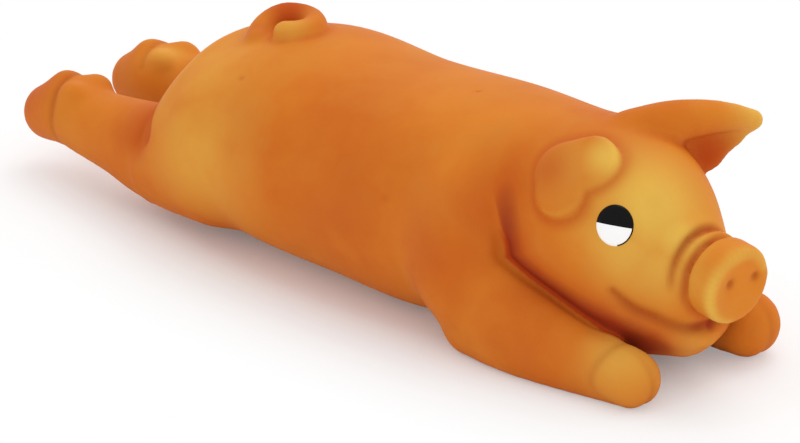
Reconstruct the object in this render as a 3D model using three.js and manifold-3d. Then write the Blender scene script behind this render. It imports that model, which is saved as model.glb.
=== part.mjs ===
// Squeaky latex pig for dogs, lying flat on its belly with its legs stretched out. The skin is
// slush-moulded latex, packed with polyester wadding, and a plastic squeaker sits in the belly.
// Millimetres. +X runs to the snout, +Y to the pig's left and +Z up, and the floor is z = 0.
import * as THREE from "three";
import { mergeVertices } from "three/addons/utils/BufferGeometryUtils.js";
import Module from "manifold-3d";

const wasm = await Module();
wasm.setup();

// Latex skin, and the clearance between neighbouring pieces
const skinWall = 2.2;
const clearance = 0.3;
const floorFlat = 0.5;

// Torso, from the rump forward to the neck
const rumpX = -46;
const rumpWidth = 56;
const rumpTop = 48.3;
const rumpBottom = 4;
const rumpRounding = 12;
const hipX = -29;
const hipWidth = 66;
const hipTop = 52.3;
const hipBottom = 1.2;
const waistX = 4;
const waistWidth = 67;
const waistTop = 52.3;
const shoulderX = 38;
const shoulderWidth = 63;
const shoulderTop = 55.2;
const neckX = 62;
const neckWidth = 49;
const neckTop = 56.8;
const neckBottom = 7;

// Head, from the neck forward to the muzzle
const crownX = 78;
const crownWidth = 45.5;
const crownTop = 57.4;
const crownBottom = 11;
const browX = 94;
const browWidth = 35;
const browTop = 51.3;
const browBottom = 13;
const muzzleX = 107;
const muzzleWidth = 16.4;
const muzzleTop = 37.2;
const muzzleBottom = 20.6;
const muzzleRounding = 5;

// Lower jaw and cheeks
const jawRootX = 70;
const jawMiddleX = 90;
const jawTipX = 102;
const jawRootWidth = 37;
const jawWidth = 36.5;
const jawTipWidth = 25;
const jawTop = 33;
const jawRootBottom = 6;
const jawBottom = 4.5;
const jawTipBottom = 6.5;
const jawRounding = 6;

// Snout disc, with its nostrils and the folds behind it. It looks a little down, and a little to
// the pig's right.
const snoutX = 117.4;
const snoutOffset = -0.5;
const snoutTurn = 5;
const snoutHeight = 28.5;
const snoutPitch = -5;
const snoutRadius = 10;
const snoutThickness = 7.2;
const snoutEdge = 1.8;
const snoutDish = 0.5;
const snoutDishRadius = 7.4;
const snoutStemRadius = 7.8;
const snoutStemLength = 16;
const foldRadius = 8.1;
const foldThickness = 3.4;
const foldSpacing = 3.4;
const foldGap = 1.1;
const foldCount = 2;
const nostrilRadius = 1.4;
const nostrilDepth = 1.4;
const nostrilSpacing = 6.6;
const nostrilRise = 1;

// Ears: leaves of latex that leave the crown, cupped on one side. The left one stands out
// sideways, with its upper edge rolled, and the right one lies folded over the cheek. Each
// `facing` is the turn from +X and the rise, in degrees, of the way that the cupped side looks.
const earRootThickness = 4.6;
const earTipThickness = 3;
const earRootRounding = 5;
const leftEarRootWidth = 22;
const leftEarTipWidth = 5;
const leftEarCup = 3;
const leftEarAngle = 62;
const leftEarSink = 5;
const leftEarSetback = -1.2;
const leftEarReach = [11.8, 25.2, 2.2];
const leftEarFacing = [-27, 7];
const earRollRadius = 5.8;
const earRollTipRadius = 2.2;
const rightEarRootWidth = 18.5;
const rightEarTipWidth = 12.8;
const rightEarCup = 1.6;
const rightEarAngle = 38;
const rightEarSink = -1.8;
const rightEarSetback = 3.3;
const rightEarReach = [6.3, 6.3, 4.6];
const rightEarFacing = [109, -40];

// Eyes: domes of paint on the brow
const eyeX = 90.5;
const eyeAngle = 25;
const eyeWidth = 9.2;
const eyeBulge = 1.7;

// Forelegs: a shoulder on the torso's side leads down to the elbow, and the leg is stretched
// forward on the floor.
const forelegSpread = 41;
const armpitX = 48;
const armpitSpread = 34.6;
const armpitRadius = 16.5;
const armpitHeight = 30.5;
const shoulderEndRadius = 14.7;
const elbowX = 51;
const elbowRadius = 15.2;
const elbowHeight = 19.5;
const forearmX = 67;
const forearmRadius = 11.6;
const wristX = 86;
const wristRadius = 8.3;
const forefootX = 102;
const forefootRadius = 7.5;

// Hind legs, stretched back from round haunches with the feet a little off the floor
const hindLegSpread = 31;
const hindRootX = -40;
const hindRootSpread = 34.6;
const hindRootRadius = 16.5;
const hindRootHeight = 20;
const haunchX = -38.5;
const haunchLength = 2;
const haunchRadius = 16.2;
const haunchHeight = 26;
const thighX = -58;
const thighSpread = 36.8;
const thighRadius = 13.4;
const thighHeight = 16.8;
const shankX = -72;
const shankSpread = 35.2;
const shankRadius = 10.8;
const shankHeight = 16;
const hockX = -84;
const hockSpread = 33.2;
const hockRadius = 9.6;
const hockHeight = 16.3;
const pasternX = -94;
const pasternRadius = 9.5;
const pasternHeight = 17;
const hindFootX = -102.5;
const hindFootRadius = 8.3;
const hindFootHeight = 16;

// All four legs end in a dome inside the trunk, and in a rounded foot with a cleft over it and
// two dewclaws behind.
const legRootRounding = 13;
const footRounding = 7.5;
const cleftWidth = 1.2;
const cleftDepth = 1.6;
const dewclawRadius = 1.9;
const dewclawSetback = 13;
const dewclawSpread = 24;
const forefootTurn = 40;

// Curled tail, lying on the rump
const tailForward = -1.5;
const tailCurlRadius = 9.2;
const tailTipCurlRadius = 4;
const tailThickness = 7.4;
const tailTipThickness = 5.8;
const tailTurns = 0.95;
const tailStartAngle = 212;
const tailSink = 2.3;
const tailRise = 6;
const tailSteps = 14;

// Squeaker housing, pressed into a thickened seat in the belly
const squeakerX = 2;
const flangeRadius = 10.5;
const flangeThickness = 1.2;
const seatRadius = 15;
const seatThickness = 2.7;
const housingRadius = 8.2;
const housingWall = 1.2;
const housingHeight = 15.5;
const barbReach = 1.6;
const barbHeight = 2.4;
const airHoleRadius = 1.5;

// Reed of the squeaker, with the channel that it closes and the clamp round its root
const channelRadius = 3.4;
const channelHeight = 10.5;
const channelFlat = 0.6;
const channelBoreRadius = 1.1;
const reedSlotWidth = 1.2;
const reedSlotLength = 4.6;
const reedWidth = 4;
const reedThickness = 0.25;
const reedLength = 9;
const reedTilt = 3;
const clampRadius = 5.2;
const clampHeight = 2.4;
const reedRoom = 0.45;

// Perforated cover that keeps the wadding out of the squeaker
const coverThickness = 1.2;
const coverPlugDepth = 1.8;
const coverPlugWall = 1;
const coverHoleRadius = 0.8;
const coverHoleCircle = 3.8;
const coverHoleCount = 6;

const flangeTop = clearance + flangeThickness;
const seatBottom = flangeTop + clearance;
const seatTop = seatBottom + seatThickness;
const housingTop = clearance + housingHeight;
const housingBore = housingRadius - housingWall;
const coverBottom = housingTop + clearance;
const coverTop = coverBottom + coverThickness;
const reedPlane = channelFlat + reedRoom;
const clampBottom = flangeTop + clearance;
const clampTop = clampBottom + clampHeight;

const finish = (color, roughness) =>
  new THREE.MeshStandardMaterial({ color, roughness, metalness: 0 });
const latex = finish(0xd9903c, 0.55);
const eyePaint = finish(0xf4f1ea, 0.2);
const wadding = finish(0xf2f0ea, 1);
const plastic = finish(0xf3f3ef, 0.4);
const film = finish(0xdfe6ea, 0.25);

const pig = new THREE.Group();
const point = (x, y, z) => new THREE.Vector3(x, y, z);
const radians = THREE.MathUtils.degToRad;
const sides = [
  ["left", 1],
  ["right", -1],
];

// A closed geometry as a solid that can be joined and cut
function solidFrom(geometry) {
  const bare = geometry.clone();
  bare.deleteAttribute("normal");
  bare.deleteAttribute("uv");
  const merged = mergeVertices(bare, 1e-4);
  return new wasm.Manifold(
    new wasm.Mesh({
      numProp: 3,
      vertProperties: merged.attributes.position.array,
      triVerts: new Uint32Array(merged.index.array),
    }),
  );
}

// A finished solid as a named mesh of the pig
function addPiece(name, solid, material) {
  const mesh = solid.getMesh();
  const geometry = new THREE.BufferGeometry();
  geometry.setAttribute("position", new THREE.BufferAttribute(mesh.vertProperties, 3));
  geometry.setIndex(new THREE.BufferAttribute(mesh.triVerts, 1));
  geometry.computeVertexNormals();
  const piece = new THREE.Mesh(geometry, material);
  piece.name = name;
  pig.add(piece);
}

const joined = (...solids) => solids.reduce((whole, solid) => whole.add(solid));
const cutBy = (solid, ...tools) => tools.reduce((left, tool) => left.subtract(tool), solid);

// The closed surface over a row of rings, all with the same number of points
function skinOver(rings) {
  const count = rings[0].length;
  const middleOf = (ring) =>
    ring.reduce((sum, p) => sum.add(p), new THREE.Vector3()).divideScalar(count);
  const points = [middleOf(rings[0]), ...rings.flat(), middleOf(rings.at(-1))];
  const at = (ring, i) => 1 + ring * count + (i % count);
  const lastRing = rings.length - 1;
  const faces = [];
  for (let i = 0; i < count; i++) {
    faces.push(0, at(0, i + 1), at(0, i));
    for (let r = 0; r < lastRing; r++) {
      faces.push(at(r, i), at(r, i + 1), at(r + 1, i + 1));
      faces.push(at(r, i), at(r + 1, i + 1), at(r + 1, i));
    }
    faces.push(points.length - 1, at(lastRing, i), at(lastRing, i + 1));
  }
  const geometry = new THREE.BufferGeometry().setFromPoints(points);
  geometry.setIndex(faces);
  return geometry;
}

// The surface of a form that swells and tapers along its stations. A station has its centre,
// half width, half height, and how far its edges are cupped upward. The width is level, or lies
// along `across`. `inset` draws the surface in all round, or out if it is negative.
function surfaceOf(stations, shape) {
  const { squareness = 1, across = null } = shape;
  const centres = new THREE.CatmullRomCurve3(stations.map((s) => s.centre));
  const sizes = new THREE.CatmullRomCurve3(
    stations.map((s) => point(s.halfWidth, s.halfHeight, s.cup ?? 0)),
  );
  const squared = (value) => Math.sign(value) * Math.abs(value) ** squareness;
  return (t, angle, inset = 0, scale = 1, shift = 0) => {
    const tangent = centres.getTangent(t);
    const up = across
      ? new THREE.Vector3().crossVectors(tangent, across).normalize()
      : point(0, 0, 1).addScaledVector(tangent, -tangent.z).normalize();
    const side = new THREE.Vector3().crossVectors(up, tangent);
    const size = sizes.getPoint(t);
    const sideways = (size.x - inset) * squared(Math.cos(angle));
    const rise = (size.y - inset) * squared(Math.sin(angle)) + size.z * Math.cos(angle) ** 2;
    return centres
      .getPoint(t)
      .addScaledVector(tangent, shift)
      .addScaledVector(side, sideways * scale)
      .addScaledVector(up, rise * scale);
  };
}

// The solid inside such a form. A rounded end is a half dome of the length given.
function swelling(stations, shape, inset = 0) {
  const { rings, facets, roundStart = 0, roundEnd = 0 } = shape;
  const pointAt = surfaceOf(stations, shape);
  const ringAt = (t, scale, shift) =>
    Array.from({ length: facets }, (_, i) =>
      pointAt(t, (2 * Math.PI * (i + 0.5)) / facets, inset, scale, shift),
    );
  const domeSteps = 3;
  const domeAngle = (step) => (Math.PI / 2) * ((step - 0.3) / domeSteps);
  const made = [];
  for (let k = domeSteps; k > 0 && roundStart > 0; k--) {
    const angle = domeAngle(k);
    made.push(ringAt(0, Math.cos(angle), (inset - roundStart) * Math.sin(angle)));
  }
  for (let i = 0; i <= rings; i++) made.push(ringAt(i / rings, 1, 0));
  for (let k = 1; k <= domeSteps && roundEnd > 0; k++) {
    const angle = domeAngle(k);
    made.push(ringAt(1, Math.cos(angle), (roundEnd - inset) * Math.sin(angle)));
  }
  return solidFrom(skinOver(made));
}

// A place on a form's surface, and the direction that it faces there
function seatOn(stations, shape, t, angle) {
  const pointAt = surfaceOf(stations, shape);
  const step = 0.01;
  const place = pointAt(t, angle);
  const along = pointAt(t + step, angle).sub(place);
  const round = pointAt(t, angle + step).sub(place);
  return { place, facing: round.cross(along).normalize() };
}

// A block between two corners
function block(low, high) {
  const size = high.clone().sub(low);
  const middle = low.clone().add(high).divideScalar(2);
  const geometry = new THREE.BoxGeometry(size.x, size.y, size.z);
  return solidFrom(geometry.translate(middle.x, middle.y, middle.z));
}

// A round solid about the squeaker's upright axis. The profile's [radius, height] points run
// anticlockwise, with the radius to the right and the height up.
function turned(profile, segments = 24) {
  const outline = profile.map(([radius, height]) => new THREE.Vector2(radius, height));
  const geometry = new THREE.LatheGeometry([...outline, outline[0]], segments);
  return solidFrom(geometry.rotateX(Math.PI / 2).translate(squeakerX, 0, 0));
}

// An upright post, placed from the squeaker's axis
function post(radius, bottom, top, segments = 24, x = 0, y = 0) {
  const geometry = new THREE.CylinderGeometry(radius, radius, top - bottom, segments);
  geometry.rotateX(Math.PI / 2).translate(squeakerX + x, y, (bottom + top) / 2);
  return solidFrom(geometry);
}

// Blocks that trim the pig, larger than it every way
const beyond = 300;
const aboveFloor = block(point(-beyond, -beyond, 0), point(beyond, beyond, beyond));
const behind = (x) => block(point(-beyond, -beyond, -beyond), point(x, beyond, beyond));
const ahead = (x) => block(point(x, -beyond, -beyond), point(beyond, beyond, beyond));

// A station whose oval stands across the body and runs from `bottom` to `top`
function oval(x, width, bottom, top) {
  return {
    centre: point(x, 0, (bottom + top) / 2),
    halfWidth: width / 2,
    halfHeight: (top - bottom) / 2,
  };
}

// The trunk is one swelling form from rump to muzzle. Torso and head are its two halves.
const trunkStations = [
  oval(rumpX, rumpWidth, rumpBottom, rumpTop),
  oval(hipX, hipWidth, hipBottom, hipTop),
  oval(waistX, waistWidth, -floorFlat, waistTop),
  oval(shoulderX, shoulderWidth, -floorFlat, shoulderTop),
  oval(neckX, neckWidth, neckBottom, neckTop),
  oval(crownX, crownWidth, crownBottom, crownTop),
  oval(browX, browWidth, browBottom, browTop),
  oval(muzzleX, muzzleWidth, muzzleBottom, muzzleTop),
];
const [hipAt, crownAt] = [1, 5].map((i) => i / (trunkStations.length - 1));
const trunkShape = {
  rings: 24,
  facets: 22,
  squareness: 0.9,
  roundStart: rumpRounding,
  roundEnd: muzzleRounding,
};
const trunkInsideShape = { ...trunkShape, rings: 16, facets: 14 };

const jawStations = [
  oval(jawRootX, jawRootWidth, jawRootBottom, jawTop),
  oval(jawMiddleX, jawWidth, jawBottom, jawTop),
  oval(jawTipX, jawTipWidth, jawTipBottom, jawTop),
];
const jawShape = { rings: 5, facets: 14, roundStart: jawRounding, roundEnd: jawRounding };
const jaw = (inset) => swelling(jawStations, jawShape, inset);

const trunk = swelling(trunkStations, trunkShape);
const trunkCavity = swelling(trunkStations, trunkInsideShape, skinWall);
const grownTrunk = swelling(trunkStations, trunkShape, -clearance);
const grownHead = joined(grownTrunk, jaw(-clearance)).intersect(ahead(neckX));
const neckSeamBack = neckX - clearance / 2;
const neckSeamFront = neckX + clearance / 2;

// Snout, made facing up and then laid forward with its turn and pitch
function laidForward(geometry) {
  geometry.rotateY(radians(90 - snoutPitch)).rotateZ(-radians(snoutTurn));
  return solidFrom(geometry.translate(snoutX, snoutOffset, snoutHeight));
}

function snout() {
  const outline = [
    [0, -snoutThickness],
    [snoutRadius - snoutEdge, -snoutThickness],
    [snoutRadius, -snoutThickness + snoutEdge],
    [snoutRadius, -snoutEdge],
    [snoutRadius - snoutEdge, 0],
    [snoutDishRadius, 0],
    [snoutDishRadius / 2, -snoutDish],
    [0, -snoutDish],
  ].map(([radius, height]) => new THREE.Vector2(radius, height));
  const disc = new THREE.LatheGeometry(outline, 24).rotateX(Math.PI / 2);
  const stem = new THREE.CylinderGeometry(snoutStemRadius, snoutStemRadius, snoutStemLength, 20);
  stem.rotateX(Math.PI / 2).translate(0, 0, -(snoutThickness + snoutStemLength) / 2);
  const folds = Array.from({ length: foldCount }, (_, i) => {
    const fold = new THREE.TorusGeometry(foldRadius, foldThickness / 2, 6, 20);
    const back = snoutThickness + foldGap + foldThickness / 2 + i * foldSpacing;
    return fold.translate(0, 0, -back);
  });
  const nostrils = [-1, 1].map((side) => {
    const hole = new THREE.CylinderGeometry(nostrilRadius, nostrilRadius, 2 * nostrilDepth, 10);
    hole.rotateX(Math.PI / 2).translate(-nostrilRise, (side * nostrilSpacing) / 2, -snoutDish);
    return laidForward(hole);
  });
  return cutBy(joined(...[disc, stem, ...folds].map(laidForward)), ...nostrils);
}

// Legs. Each is a form of its own, and the torso and head cut away what they cover. The toes are
// solid, so a leg's cavity stops short of the cleft.
const legShape = {
  rings: 10,
  facets: 14,
  roundStart: legRootRounding,
  roundEnd: footRounding,
};
const legInsideShape = { ...legShape, rings: 8, facets: 9, roundEnd: footRounding - cleftDepth };

function limb(stations, side, shape = legShape, inset = 0) {
  const placed = stations.map((station) => ({
    centre: point(station.x, (side * station.spread) / 2, station.height),
    halfWidth: station.radius,
    halfHeight: station.radius,
  }));
  return swelling(placed, shape, inset);
}

const elbow = {
  x: elbowX,
  spread: forelegSpread,
  height: elbowHeight,
  radius: elbowRadius,
};
const onFloor = (x, radius) => ({ x, spread: forelegSpread, height: radius - floorFlat, radius });
const forelegStations = [
  elbow,
  onFloor(forearmX, forearmRadius),
  onFloor(wristX, wristRadius),
  onFloor(forefootX, forefootRadius),
];
const armpit = { x: armpitX, spread: armpitSpread, height: armpitHeight, radius: armpitRadius };
const shoulderStations = [armpit, { ...elbow, radius: shoulderEndRadius }];

const hindLegStations = [
  { x: hindRootX, spread: hindRootSpread, height: hindRootHeight, radius: hindRootRadius },
  { x: thighX, spread: thighSpread, height: thighHeight, radius: thighRadius },
  { x: shankX, spread: shankSpread, height: shankHeight, radius: shankRadius },
  { x: hockX, spread: hockSpread, height: hockHeight, radius: hockRadius },
  { x: pasternX, spread: hindLegSpread, height: pasternHeight, radius: pasternRadius },
  { x: hindFootX, spread: hindLegSpread, height: hindFootHeight, radius: hindFootRadius },
];

const haunch = { spread: hindRootSpread, height: haunchHeight, radius: haunchRadius };
const haunchStations = [
  { ...haunch, x: haunchX },
  { ...haunch, x: haunchX - haunchLength },
];

const forefoot = forelegStations.at(-1);
const hindFoot = hindLegStations.at(-1);

function foreleg(side, shape = legShape, inset = 0) {
  const roundings = { roundStart: armpitRadius, roundEnd: shoulderEndRadius };
  const shoulderShape = { ...shape, ...roundings, rings: 2 };
  return joined(
    limb(forelegStations, side, shape, inset),
    limb(shoulderStations, side, shoulderShape, inset),
  );
}

function hindLeg(side, shape = legShape, inset = 0) {
  const roundings = { roundStart: haunchRadius, roundEnd: haunchRadius };
  const haunchShape = { ...shape, ...roundings, rings: 1 };
  return joined(
    limb(hindLegStations, side, shape, inset),
    limb(haunchStations, side, haunchShape, inset),
  );
}

// The cleft runs over the end of the foot at one depth. Two dewclaws stand behind it, turned
// outward from the top of the foot by `footTurn` degrees.
function leg(form, foot, side, footTurn, ...covers) {
  const outward = Math.sign(foot.x);
  const y = (side * foot.spread) / 2;
  const slit = block(
    point(Math.min(foot.x, outward * beyond), y - cleftWidth / 2, -beyond),
    point(Math.max(foot.x, outward * beyond), y + cleftWidth / 2, beyond),
  );
  const cleft = slit.subtract(form(side, legShape, cleftDepth));
  const dewclaws = [-1, 1].map((claw) => {
    const angle = radians(90 - side * footTurn + claw * dewclawSpread);
    const ball = new THREE.SphereGeometry(dewclawRadius, 8, 6).translate(
      foot.x - outward * dewclawSetback,
      y + foot.radius * Math.cos(angle),
      foot.height + foot.radius * Math.sin(angle),
    );
    return solidFrom(ball);
  });
  const outer = joined(form(side), ...dewclaws).subtract(cleft);
  const cavity = form(side, legInsideShape, skinWall);
  return cutBy(outer, cavity, ...covers).intersect(aboveFloor);
}

// Ears. A leaf starts `setback` behind the crown and `sink` under its surface, and follows
// `reach`. Where it has a roll, a tapered tube thickens its upper edge.
function ear(side, { rootAngle, sink, setback, reach, facing, cup, rootWidth, tipWidth, roll }) {
  const angle = radians(90 - side * (90 - rootAngle));
  const seat = seatOn(trunkStations, trunkShape, crownAt, angle);
  const root = seat.place.addScaledVector(seat.facing, -sink).add(point(-setback, 0, 0));
  const [turn, rise] = facing.map(radians);
  const level = point(Math.cos(turn), Math.sin(turn), 0);
  const cupped = level.multiplyScalar(Math.cos(rise)).add(point(0, 0, Math.sin(rise)));
  const across = new THREE.Vector3().crossVectors(cupped, point(...reach)).normalize();
  const stations = [0, 0.5, 1].map((share) => ({
    centre: root.clone().addScaledVector(point(...reach), share),
    halfWidth: (rootWidth + (tipWidth - rootWidth) * share ** 2) / 2,
    halfHeight: (earRootThickness + (earTipThickness - earRootThickness) * share) / 2,
    cup: cup * (1 - share / 2),
  }));
  const shape = { rings: 8, facets: 14, roundStart: earRootRounding, across };
  const leaf = swelling(stations, { ...shape, roundEnd: tipWidth / 2 });
  if (!roll) return leaf.subtract(grownTrunk);
  const [rootRadius, tipRadius] = roll;
  const rollStations = stations.map(({ centre, halfWidth }, i) => {
    const radius = rootRadius + ((tipRadius - rootRadius) * i) / (stations.length - 1);
    return {
      centre: centre
        .clone()
        .addScaledVector(across, halfWidth - radius)
        .addScaledVector(cupped, cup / 2),
      halfWidth: radius,
      halfHeight: radius,
    };
  });
  const edge = swelling(rollStations, { ...shape, roundEnd: tipRadius });
  return joined(leaf, edge).subtract(grownTrunk);
}

const leftEar = {
  rootAngle: leftEarAngle,
  sink: leftEarSink,
  setback: leftEarSetback,
  reach: leftEarReach,
  facing: leftEarFacing,
  cup: leftEarCup,
  rootWidth: leftEarRootWidth,
  tipWidth: leftEarTipWidth,
  roll: [earRollRadius, earRollTipRadius],
};
const rightEar = {
  rootAngle: rightEarAngle,
  sink: rightEarSink,
  setback: rightEarSetback,
  reach: rightEarReach,
  facing: rightEarFacing,
  cup: rightEarCup,
  rootWidth: rightEarRootWidth,
  tipWidth: rightEarTipWidth,
};

// The share of the way along the trunk at which its middle line reaches a place
function trunkShareAt(x) {
  const line = new THREE.CatmullRomCurve3(trunkStations.map((station) => station.centre));
  let [low, high] = [0, 1];
  for (let i = 0; i < 20; i++) {
    const middle = (low + high) / 2;
    if (line.getPoint(middle).x < x) low = middle;
    else high = middle;
  }
  return low;
}

// Eyes. Each is a dome of paint over a moulded bulge, seated ahead of the crown.
function eye(side) {
  const angle = radians(90 - side * (90 - eyeAngle));
  const seat = seatOn(trunkStations, trunkShape, trunkShareAt(eyeX), angle);
  const dome = new THREE.SphereGeometry(1, 16, 8).scale(eyeWidth / 2, eyeWidth / 2, eyeBulge);
  const turn = new THREE.Quaternion().setFromUnitVectors(point(0, 0, 1), seat.facing);
  dome.applyQuaternion(turn).translate(...seat.place.toArray());
  return solidFrom(dome).subtract(grownTrunk);
}

// The tail is one unbroken tube, wound clockwise from above and tapering to a round tip.
const rumpSeat = seatOn(trunkStations, trunkShape, hipAt, Math.PI / 2).place;
const tailStations = Array.from({ length: tailSteps + 1 }, (_, i) => {
  const share = i / tailSteps;
  const angle = radians(tailStartAngle - 360 * tailTurns * share);
  const reach = tailCurlRadius + (tailTipCurlRadius - tailCurlRadius) * share;
  const radius = (tailThickness + (tailTipThickness - tailThickness) * share) / 2;
  return {
    centre: point(
      rumpSeat.x + tailForward + reach * Math.cos(angle),
      rumpSeat.y + reach * Math.sin(angle),
      rumpSeat.z - tailSink + tailRise * Math.sqrt(share),
    ),
    halfWidth: radius,
    halfHeight: radius,
  };
});

// The least space between any two stretches of the tail that lie a half turn or more apart
function tailSelfGap() {
  const halfTurn = Math.floor(tailSteps / tailTurns / 2);
  const gaps = tailStations.flatMap((a, i) =>
    tailStations
      .slice(i + halfTurn)
      .map((b) => a.centre.distanceTo(b.centre) - a.halfWidth - b.halfWidth),
  );
  return Math.min(...gaps);
}
console.log(`Least gap of the tail's curl to itself: ${tailSelfGap().toFixed(2)} mm`);

const tail = swelling(tailStations, {
  rings: tailSteps,
  facets: 7,
  roundStart: tailThickness / 2,
  roundEnd: tailTipThickness / 2,
});

// Latex skin, hollow throughout and open from torso to head and legs
const legCavities = sides.flatMap(([, side]) => [
  foreleg(side, legInsideShape, skinWall),
  hindLeg(side, legInsideShape, skinWall),
]);
const torsoSkin = cutBy(trunk.intersect(behind(neckSeamBack)), trunkCavity, ...legCavities);
const bellySeat = post(seatRadius, 0, seatTop).intersect(trunk);
const plugHole = post(housingRadius + clearance, -clearance, seatTop + clearance);
const flangeHole = post(flangeRadius + clearance, -clearance, seatBottom);
const torso = cutBy(joined(torsoSkin, bellySeat), plugHole, flangeHole).intersect(aboveFloor);
addPiece("torso", torso, latex);

const headForm = joined(trunk, jaw(0)).intersect(ahead(neckSeamFront));
const headSolid = joined(headForm, snout()).intersect(aboveFloor);
addPiece("head", cutBy(headSolid, trunkCavity, jaw(skinWall)), latex);

addPiece("ear_left", ear(1, leftEar), latex);
addPiece("ear_right", ear(-1, rightEar), latex);
for (const [name, side] of sides) {
  const covers = [grownTrunk, grownHead];
  addPiece(`foreleg_${name}`, leg(foreleg, forefoot, side, forefootTurn, ...covers), latex);
  addPiece(`hind_leg_${name}`, leg(hindLeg, hindFoot, side, 0, grownTrunk), latex);
  addPiece(`eye_${name}`, eye(side), eyePaint);
}
addPiece("tail", tail.subtract(grownTrunk), latex);

// Squeaker housing: a cup whose flange lies in the belly and whose barb holds behind the seat
const barbBottom = seatTop + clearance;
const housing = turned([
  [airHoleRadius, clearance],
  [flangeRadius, clearance],
  [flangeRadius, flangeTop],
  [housingRadius, flangeTop],
  [housingRadius, barbBottom],
  [housingRadius + barbReach, barbBottom],
  [housingRadius, barbBottom + barbHeight],
  [housingRadius, housingTop],
  [housingBore, housingTop],
  [housingBore, flangeTop],
  [airHoleRadius, flangeTop],
]);
addPiece("squeaker_housing", housing, plastic);

// The reed lies against the flat side of the channel. Air enters the slot under it, and leaves
// down the channel's bore and the air hole.
const channelTop = clampBottom + channelHeight;
const slotBottom = clampTop + clearance;
const reedSlot = block(
  point(squeakerX, -reedSlotWidth / 2, slotBottom),
  point(squeakerX + beyond, reedSlotWidth / 2, slotBottom + reedSlotLength),
);
const channelBore = post(channelBoreRadius, -clearance, slotBottom + reedSlotLength, 12);
const channelPost = post(channelRadius, clampBottom, channelTop, 20);
const flatSide = ahead(squeakerX + channelFlat);
addPiece("reed_channel", cutBy(channelPost, flatSide, channelBore, reedSlot), plastic);

// The reed bends where it leaves the clamp, so its turning line lies there, and its root has
// room on both sides of it for the bend.
const reedRoot = point(squeakerX + reedPlane + reedThickness / 2, 0, clampTop);
const reedBlade = new THREE.BoxGeometry(reedThickness, reedWidth, reedLength)
  .translate(0, 0, reedLength / 2 - clampHeight)
  .rotateY(radians(reedTilt))
  .translate(...reedRoot.toArray());
addPiece("reed", solidFrom(reedBlade), film);

// The clamp's hole is D-shaped, and its flat side faces the reed.
const clampRing = post(clampRadius, clampBottom, clampTop, 20);
const clampHole = post(channelRadius + clearance, -clearance, clampTop + clearance, 20);
const clampFlat = squeakerX + reedPlane + reedThickness + clearance;
addPiece("reed_clamp", clampRing.subtract(clampHole.intersect(behind(clampFlat))), plastic);

// Cover, pressed into the top of the housing
const plugRadius = housingBore - clearance;
const coverPlate = turned([
  [0, coverBottom],
  [plugRadius - coverPlugWall, coverBottom],
  [plugRadius - coverPlugWall, housingTop - coverPlugDepth],
  [plugRadius, housingTop - coverPlugDepth],
  [plugRadius, coverBottom],
  [housingRadius, coverBottom],
  [housingRadius, coverTop],
  [0, coverTop],
]);
const coverHoles = Array.from({ length: coverHoleCount }, (_, i) => {
  const angle = (2 * Math.PI * i) / coverHoleCount;
  const x = coverHoleCircle * Math.cos(angle);
  const y = coverHoleCircle * Math.sin(angle);
  return post(coverHoleRadius, 0, coverTop + clearance, 8, x, y);
});
addPiece("squeaker_cover", cutBy(coverPlate, ...coverHoles), plastic);

// Wadding: one wad for each hollow, a clearance inside the latex
const waddingInset = skinWall + clearance;
const trunkWadding = swelling(trunkStations, trunkInsideShape, waddingInset);
const squeakerRoom = post(housingRadius + barbReach + clearance, -clearance, coverTop + clearance);
const seatRoom = post(seatRadius + clearance, -clearance, seatTop + clearance);
const torsoWad = cutBy(trunkWadding.intersect(behind(neckSeamBack)), squeakerRoom, seatRoom);
addPiece("stuffing_torso", torsoWad, wadding);
const headWad = joined(trunkWadding, jaw(waddingInset)).intersect(ahead(neckSeamFront));
addPiece("stuffing_head", headWad, wadding);
for (const [name, side] of sides) {
  const covers = [trunkCavity, grownHead];
  const forelegWad = limb(forelegStations, side, legInsideShape, waddingInset);
  const hindLegWad = limb(hindLegStations, side, legInsideShape, waddingInset);
  addPiece(`stuffing_foreleg_${name}`, cutBy(forelegWad, ...covers), wadding);
  addPiece(`stuffing_hind_leg_${name}`, cutBy(hindLegWad, trunkCavity), wadding);
}

// The pig stands on the middle of its outline.
const outline = new THREE.Box3().setFromObject(pig);
const middle = outline.getCenter(new THREE.Vector3());
pig.children.forEach((piece) => piece.geometry.translate(-middle.x, -middle.y, -outline.min.z));

export default pig;
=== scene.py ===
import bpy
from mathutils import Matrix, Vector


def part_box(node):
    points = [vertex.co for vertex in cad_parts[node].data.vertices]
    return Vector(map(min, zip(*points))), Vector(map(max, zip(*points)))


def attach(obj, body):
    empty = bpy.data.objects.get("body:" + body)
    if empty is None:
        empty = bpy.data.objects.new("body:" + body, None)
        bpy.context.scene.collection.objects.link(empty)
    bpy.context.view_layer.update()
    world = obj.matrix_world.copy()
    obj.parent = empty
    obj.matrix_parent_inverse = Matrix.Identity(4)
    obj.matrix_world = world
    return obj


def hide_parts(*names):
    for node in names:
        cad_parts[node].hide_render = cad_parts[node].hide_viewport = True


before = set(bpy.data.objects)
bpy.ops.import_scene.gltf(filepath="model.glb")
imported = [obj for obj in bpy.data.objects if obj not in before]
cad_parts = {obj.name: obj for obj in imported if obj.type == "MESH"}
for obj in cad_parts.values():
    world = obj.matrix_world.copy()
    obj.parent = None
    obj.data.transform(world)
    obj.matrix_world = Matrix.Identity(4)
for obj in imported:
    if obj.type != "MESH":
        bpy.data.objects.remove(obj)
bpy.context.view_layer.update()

import math

import bpy
import numpy as np
from mathutils import Vector

# Latex skin
# One hollow moulding of natural latex: torso, head, ears, legs and tail come out of the mould in
# one piece, 2.2 mm thick, with a thickened seat in the belly that holds the squeaker.
MILLIMETRE = 0.001
SKIN_WALL = 2.2
SKIN_SPACING = 0.75
SQUEAKER_X = 2.0

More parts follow.
